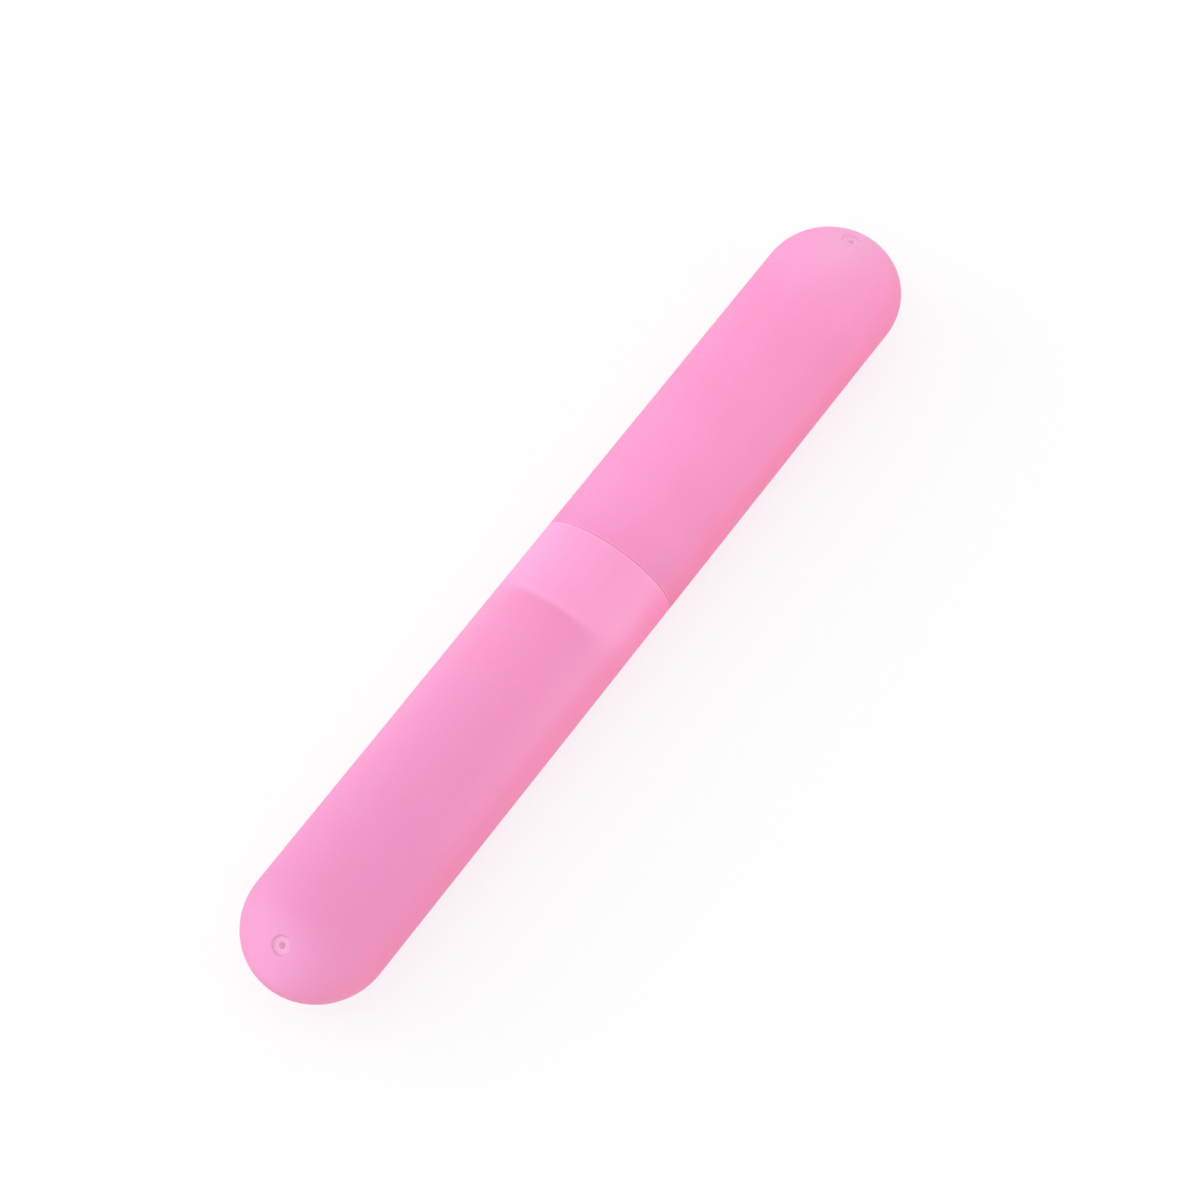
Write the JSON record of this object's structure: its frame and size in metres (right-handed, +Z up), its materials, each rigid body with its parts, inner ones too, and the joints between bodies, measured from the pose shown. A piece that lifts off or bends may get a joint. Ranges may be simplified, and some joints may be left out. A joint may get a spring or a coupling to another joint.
{
  "type": "travel toothbrush case",
  "caption": "Frosted translucent oval tube case with rounded ends and small vents; a body half and a cap half push together over a hidden spigot to hold a toothbrush.",
  "frame": {"origin": "under the middle of the closed case, on the surface it lies on", "axes": "+X along the case from the body's tip towards the cap's tip, +Y across its width, +Z up, with the vents on the upper side"},
  "size_m": [0.2, 0.03, 0.023],
  "materials": {
    "frosted_pink_plastic": "fine frosted, translucent polypropylene with a soft satin sheen"
  },
  "bodies": {
    "body_half": {"case_body": "frosted_pink_plastic"},
    "cap_half": {"case_cap": "frosted_pink_plastic"}
  },
  "joints": [
    {"name": "cap_pull", "type": "slide", "parent": "body_half", "child": "cap_half", "axis": [1, 0, 0], "range_m": [0, 0.1]}
  ]
}
